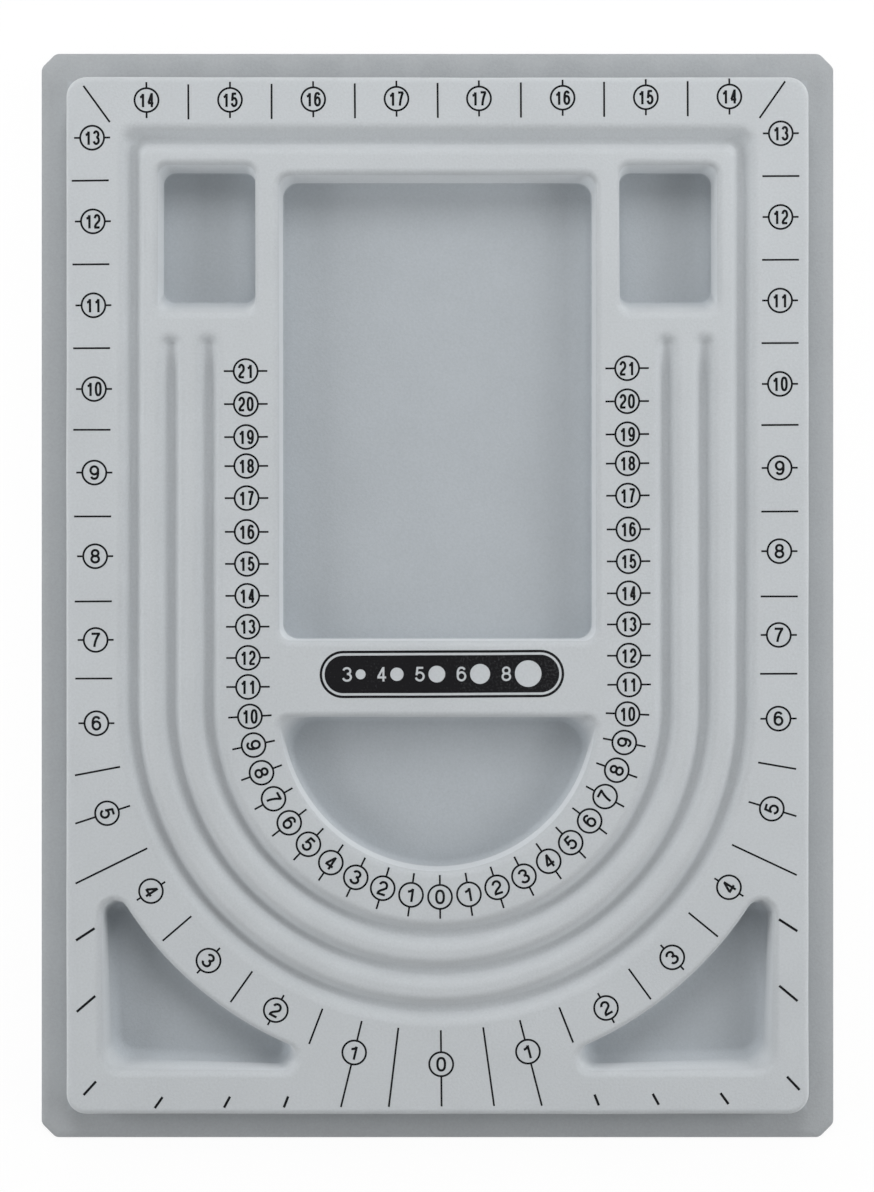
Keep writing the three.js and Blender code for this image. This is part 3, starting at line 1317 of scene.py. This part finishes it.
@dataclass
class Scale(ABC):
    """A printed scale: numbers in rings, with ticks through them."""

    press: Press
    lettering: Lettering = field(default_factory=Lettering)
    ring_diameter: float = 7.7
    ring_line: float = 0.58
    tick_line: float = 0.55

    @abstractmethod
    def slabs(self) -> list[np.ndarray]:
        """The scale's marks, each as a slab of ink."""

    def ray(self, angle: float) -> np.ndarray:
        """The direction at degrees from straight down towards +X."""
        return np.array([math.sin(math.radians(angle)), -math.cos(math.radians(angle))])

    def polar(self, angle: float, radius: float) -> np.ndarray:
        """A point round the centre of the bends."""
        return radius * self.ray(angle) + (0.0, self.press.layout.arc_y)

    def label(
        self,
        number: int,
        centre: np.ndarray,
        ahead: np.ndarray,
        reach: Sequence[float],
        turn: float = 0.0,
    ) -> np.ndarray:
        """Makes a number in its ring, with ticks from the ring along a direction and back against it.

        Args:
            number: the number.
            centre: the middle of the ring.
            ahead: direction of the first tick, of length 1.
            reach: distance from the centre that each tick reaches, which shows outside the ring only.
            turn: angle that the number is turned by.

        Returns:
            The label's slab.
        """
        across = self.ring_diameter - self.ring_line
        fills = ribbon(disc(centre, across, FACETS.ring), self.ring_line, closed=True)
        fills += self.lettering.number(str(number), centre, turn)
        for way, length in zip((ahead, -ahead), reach):
            if length > across / 2:
                fills += bar(centre + way * across / 2, centre + way * length, self.tick_line)
        return self.press.slab(fills)

    def tick(self, start: Sequence[float], end: Sequence[float], widening: float = 1.0) -> np.ndarray:
        """A tick by itself, drawn wider by a factor."""
        return self.press.slab(bar(start, end, self.tick_line * widening))


@dataclass
class InchScale(Scale):
    """The scale round the border, from nought at the bottom up both sides to the middle of the top."""

    side_x: float = 102.4
    side_first: float = 137.5
    side_pitch: float = 25.0
    side_numbers: tuple[int, ...] = (13, 12, 11, 10, 9, 8, 7, 6)
    side_lean: float = 0.0103
    lean_from: float = 37.5
    half_tick: tuple[float, float] = (97.5, 108.6)
    half_drift: tuple[float, ...] = (-0.3, -0.3, -0.3, 0.3, -0.6, -1.0, 0.9)
    half_shift: float = -0.6
    top_y: float = 148.6
    top_first: float = 12.35
    top_shift: float = 1.0
    top_pitch: float = 24.93
    top_numbers: tuple[int, ...] = (17, 16, 15, 14)
    top_tick: tuple[float, float] = (142.8, 153.3)
    straight_reach: tuple[float, float] = (5.4, 5.4)
    bend_numbers: tuple[tuple[int, float, float], ...] = (
        (1, 14.1, 106.7),
        (2, 28.6, 103.2),
        (3, 42.5, 102.65),
        (4, 57.6, 102.3),
        (5, 72.45, 104.25),
    )
    nought_radius: float = 107.1
    bend_halves: tuple[float, ...] = (7.5, 21.4, 35.5, 50.0, 64.3, 79.6)
    long_halves: tuple[float, ...] = (7.5, 64.3, 79.6)
    full_labels: tuple[int, ...] = (0, 1, 5)
    bend_inner: float = 97.0
    bend_outer: float = 108.3
    short_reach: tuple[float, float] = (5.1, 5.1)
    frame_x: tuple[float, float] = (103.3, 108.9)
    frame_y: tuple[float, float] = (149.4, 152.7)
    right_frame_share: float = 0.98
    edge_tick_widening: float = 1.35
    edge_ticks: tuple[float, ...] = (57.5, 50.2, 35.6, 28.5, 21.5)
    corner_tick: tuple[float, float, float] = (42.8, 152.0, 157.5)
    diagonal: tuple[tuple[float, float], tuple[float, float]] = ((104.9, 153.0), (97.1, 142.1))

    def to_frame(self, angle: float, side: Side) -> tuple[float, float]:
        """Radii at which a ray meets the inner and the outer frame of the border.

        Args:
            angle: the ray's angle in degrees.
            side: the half of the board, of which the right has a slightly narrower frame.

        Returns:
            Both radii.
        """
        turn = math.radians(angle)
        along, across = max(math.cos(turn), LEAST_SHARE), max(math.sin(turn), LEAST_SHARE)
        share = self.right_frame_share if side is Side.RIGHT else 1.0
        ends = zip(self.frame_x, self.frame_y)
        return tuple(min((self.press.layout.arc_y + y) / along, share * x / across) for x, y in ends)

    def drift(self, side: Side, y: float) -> float:
        """How far the numbers of a side lie to the right, because its column leans."""
        return self.side_lean * (y - self.lean_from) if side is Side.RIGHT else 0.0

    def straight_runs(self, side: Side) -> list[np.ndarray]:
        """Marks up one side and along its half of the top.

        Args:
            side: the half of the board.

        Returns:
            The slabs of the marks.
        """
        sign = side.value
        out, up = np.array([float(sign), 0.0]), np.array([0.0, 1.0])
        made = [self.tick(*((sign * x, y) for x, y in self.diagonal))]
        for place, number in enumerate(self.side_numbers):
            y = self.side_first - place * self.side_pitch
            centre = np.array([sign * self.side_x + self.drift(side, y), y])
            made.append(self.label(number, centre, out, self.straight_reach))
        for place, drift in enumerate(self.half_drift):
            y = self.side_first - (place + 0.5) * self.side_pitch + drift
            aside = self.drift(side, y) + (self.half_shift if side is Side.RIGHT else 0.0)
            made.append(self.tick(*((sign * x + aside, y) for x in self.half_tick)))
        for place, number in enumerate(self.top_numbers):
            x = sign * (self.top_first + place * self.top_pitch) + self.top_shift
            made.append(self.label(number, np.array([x, self.top_y]), up, self.straight_reach))
            if number != self.top_numbers[-1]:
                half = x + sign * self.top_pitch / 2
                made.append(self.tick(*((half, y) for y in self.top_tick)))
        return made

    def number_on_bend(self, number: int, angle: float, radius: float, side: Side) -> np.ndarray:
        """A number on one half of the bend, with short ticks or with ticks across the border.

        Args:
            number: the number.
            angle: its place on the bend, in degrees.
            radius: its distance from the centre of the bends.
            side: the half of the board.

        Returns:
            The label's slab.
        """
        reach = self.short_reach
        if number in self.full_labels:
            reach = self.to_frame(angle, side)[1] - radius, radius - self.bend_inner
        place = side.value * angle
        return self.label(number, self.polar(place, radius), self.ray(place), reach, math.radians(place))

    def bend_run(self, side: Side) -> list[np.ndarray]:
        """Marks round one half of the bend.

        Args:
            side: the half of the board.

        Returns:
            The slabs of the marks.
        """
        rays = []
        for angle in self.bend_halves:
            outer = self.to_frame(angle, side)[1] if angle in self.long_halves else self.bend_outer
            rays.append((angle, self.bend_inner, outer, 1.0))
        edges = [*((angle, *self.to_frame(angle, side)) for angle in self.edge_ticks), self.corner_tick]
        rays += [(*edge, self.edge_tick_widening) for edge in edges]
        made = [self.number_on_bend(*place, side) for place in self.bend_numbers]
        for angle, *ends, widening in rays:
            start, end = (self.polar(side.value * angle, radius) for radius in ends)
            made.append(self.tick(start, end, widening))
        return made

    def slabs(self) -> list[np.ndarray]:
        """The nought, the middle tick at the top and both halves, as the base class says."""
        made = [
            self.number_on_bend(0, 0.0, self.nought_radius, Side.LEFT),
            self.tick(*((self.top_shift, y) for y in self.top_tick)),
        ]
        for side in Side:
            made += self.straight_runs(side) + self.bend_run(side)
        return made


@dataclass
class CentimetreScale(Scale):
    """The scale round the middle bins, from nought at the bottom up both sides."""

    bend_radius: float = 56.5
    bend_sag: float = 0.6
    bend_pitch: float = 8.72
    bend_count: int = 10
    side_x: float = 57.0
    side_y: tuple[float, ...] = (-26.96, -18.3, -9.0, 0.25, 9.8, 19.4, 29.5, 39.1, 47.8, 57.65, 67.5)
    reach: tuple[float, float] = (6.5, 6.5)

    def number_on_bend(self, number: int, side: Side) -> np.ndarray:
        """A number on one half of the bend, turned towards its centre, but the last one upright.

        Args:
            number: the number.
            side: the half of the board.

        Returns:
            The label's slab.
        """
        angle = side.value * number * self.bend_pitch
        radius = self.bend_radius + self.bend_sag * math.cos(math.radians(angle)) ** 2
        turn = 0.0 if number == self.bend_count else math.radians(angle)
        return self.label(number, self.polar(angle, radius), self.ray(angle), self.reach, turn)

    def slabs(self) -> list[np.ndarray]:
        """The nought and both halves, as the base class says."""
        made = [self.number_on_bend(0, Side.LEFT)]
        for side in Side:
            made += [self.number_on_bend(number, side) for number in range(1, self.bend_count + 1)]
            out = np.array([float(side.value), 0.0])
            for number, y in enumerate(self.side_y, self.bend_count + 1):
                made.append(self.label(number, np.array([side.value * self.side_x, y]), out, self.reach))
        return made


@dataclass
class BeadGauge:
    """The dark panel between the middle bins: bare dots of common bead sizes, with their numbers."""

    press: Press
    centre: tuple[float, float] = (1.0, -23.5)
    size: tuple[float, float] = (73.2, 14.2)
    line: float = 0.75
    gap: float = 0.72
    beads: tuple[int, ...] = (3, 4, 5, 6, 8)
    lettering: Lettering = field(default_factory=lambda: Lettering(single_width=2.9, stroke=0.62))
    number_gap: float = 1.1
    bead_gap: float = 3.4

    def pill(self, inset: float) -> np.ndarray:
        """The panel's round-ended outline at an inset.

        Args:
            inset: how far it lies inside the outermost edge.

        Returns:
            An array of points.
        """
        half_width, radius = self.size[0] / 2 - inset, self.size[1] / 2 - inset
        x, y = self.centre
        reach, steps = half_width - radius, FACETS.pill_end
        right = Arc(x + reach, y, radius, -QUARTER, QUARTER, steps).points()
        left = Arc(x - reach, y, radius, QUARTER, 3 * QUARTER, steps).points()
        count = round(2 * reach / FACETS.side) + 1
        over, under = (np.linspace(a[-1], b[0], count)[1:-1] for a, b in [(right, left), (left, right)])
        return np.concatenate([right, over, left, under])

    def slabs(self) -> list[np.ndarray]:
        """The outline and the filled panel with its bare marks.

        Returns:
            The slabs of the panel.
        """
        outline = self.press.slab([self.pill(0.0)], [self.pill(self.line)])
        digit, (middle, y) = self.lettering.single_width, self.centre
        wide = digit + self.number_gap
        total = sum(wide + bead for bead in self.beads) + self.bead_gap * (len(self.beads) - 1)
        x = middle - total / 2
        bare = []
        for bead in self.beads:
            bare += self.lettering.number(str(bead), (x + digit / 2, y))
            bare.append(disc((x + wide + bead / 2, y), bead, FACETS.dot))
            x += wide + bead + self.bead_gap
        return [outline, self.press.slab([self.pill(self.line + self.gap)], bare)]


# Studio


@dataclass(frozen=True)
class Lamp:
    """A soft square lamp aimed at the board, half as wide as it is far away.

    Its strength is given as its share of the light on the middle of the panel.
    """

    name: str
    share: float
    azimuth: float
    elevation: float
    distance: float

    def hang(self) -> None:
        """Makes the lamp and turns it towards the board."""
        light = bpy.data.lights.new(self.name, "AREA")
        turn, tilt = math.radians(self.azimuth), math.radians(self.elevation)
        light.size = self.distance / 2 * MM
        light.energy = 4 * math.pi * self.share * (self.distance * MM) ** 2 / math.sin(tilt)
        made = bpy.data.objects.new(self.name, light)
        level = math.cos(tilt)
        towards = Vector((math.sin(turn) * level, math.cos(turn) * level, math.sin(tilt)))
        made.rotation_mode = "QUATERNION"
        made.rotation_quaternion = towards.to_track_quat("Z", "Y")
        made.location = towards * self.distance * MM
        bpy.context.scene.collection.objects.link(made)


@dataclass
class Studio:
    """White paper, soft lamps all round, those beyond the top strongest, and the camera above."""

    layout: Layout
    image_height: int = 1192
    pixels_to_mm: float = 3.345
    distance: float = 575.0
    sensor: float = 36.0
    aim: tuple[float, float] = (-0.15, -0.15)
    lamps: tuple[Lamp, ...] = (
        Lamp("left_lamp", 0.150, -90.0, 22.0, 900.0),
        Lamp("right_low_lamp", 0.080, 90.0, 22.0, 900.0),
        Lamp("right_lamp", 0.135, 90.0, 32.0, 900.0),
        Lamp("upper_high_lamp", 0.165, 0.0, 42.0, 1400.0),
        Lamp("upper_lamp", 0.075, 0.0, 32.0, 900.0),
        Lamp("upper_low_lamp", 0.050, 0.0, 22.0, 900.0),
        Lamp("upper_right_lamp", 0.034, 45.0, 54.0, 900.0),
        Lamp("lower_left_lamp", 0.065, -135.0, 42.0, 1400.0),
        Lamp("lower_lamp", 0.062, 180.0, 30.0, 1400.0),
    )
    ambient: float = 0.05
    floor_half: float = 3000.0
    floor_drop: float = 0.05
    floor: FloorFinish = FloorFinish()

    def light(self) -> None:
        """Hangs the lamps and lights the world evenly, white to the camera."""
        for lamp in self.lamps:
            lamp.hang()
        bpy.context.scene.world = bpy.data.worlds.new("even_light")
        shader = Shader(bpy.context.scene.world)
        glow, backdrop = (
            shader.node("ShaderNodeBackground", {}, {"Color": WHITE, "Strength": strength})
            for strength in (self.ambient, 1.0)
        )
        both = shader.node("ShaderNodeMixShader", {}, {0: shader.seen, 1: glow, 2: backdrop})
        shader.node("ShaderNodeOutputWorld", {}, {"Surface": both})

    def lay_floor(self) -> bpy.types.Object:
        """Lays the paper just under the board.

        Returns:
            The floor.
        """
        half = self.floor_half
        corners = [(-half, -half), (half, -half), (half, half), (-half, half)]
        points = np.array([(x, y, -self.floor_drop) for x, y in corners])
        made = placed("paper_floor", points, [[0, 1, 2, 3]])
        made.data.materials.append(self.floor.material())
        return made

    def place_camera(self) -> None:
        """Hangs the camera straight above the board."""
        data = bpy.data.cameras.new("camera")
        data.sensor_width = self.sensor
        data.lens = self.sensor * self.distance * self.pixels_to_mm / self.image_height
        made = bpy.data.objects.new("camera", data)
        made.location = Vector((*self.aim, self.layout.height + self.distance)) * MM
        bpy.context.scene.collection.objects.link(made)
        bpy.context.scene.camera = made


def report(piece: bpy.types.Object) -> None:
    """Logs a finished piece."""
    LOG.info("%s: %d faces", piece.name, len(piece.data.polygons))


def main() -> None:
    """Builds the board's layers, its print and the studio."""
    logging.basicConfig(level=logging.INFO, format="%(name)s %(message)s")
    bpy.context.scene.view_settings.view_transform = "Standard"
    low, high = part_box("flock_lining")
    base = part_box("formed_tray")[0]
    layout = Layout((high.x - low.x) / MM, (high.y - low.y) / MM, (high.z - base.z) / MM)
    wobble = Wobble()
    shape = Relief(layout), wobble
    sheet, flock = (layout.flock + layout.film, layout.stack), (0.0, layout.flock)
    layers = [
        FormedLayer("formed_sheet", "formed_tray", "grey_sheet", SheetFinish(), *sheet, *shape),
        FormedLayer("flock_coat", "flock_lining", "grey_flock", FlockFinish(), *flock, *shape),
    ]
    for layer in layers:
        piece = layer.build()
        layer.dress(piece)
        report(piece)

    press = Press(layout, wobble)
    ink = InkFinish()
    prints = {
        "inch_scale": InchScale(press),
        "centimetre_scale": CentimetreScale(press),
        "bead_gauge": BeadGauge(press),
    }
    for name, printed in prints.items():
        report(press.piece(name, printed.slabs(), ink))

    studio = Studio(layout)
    studio.light()
    report(studio.lay_floor())
    studio.place_camera()


if __name__ == "__main__":
    main()
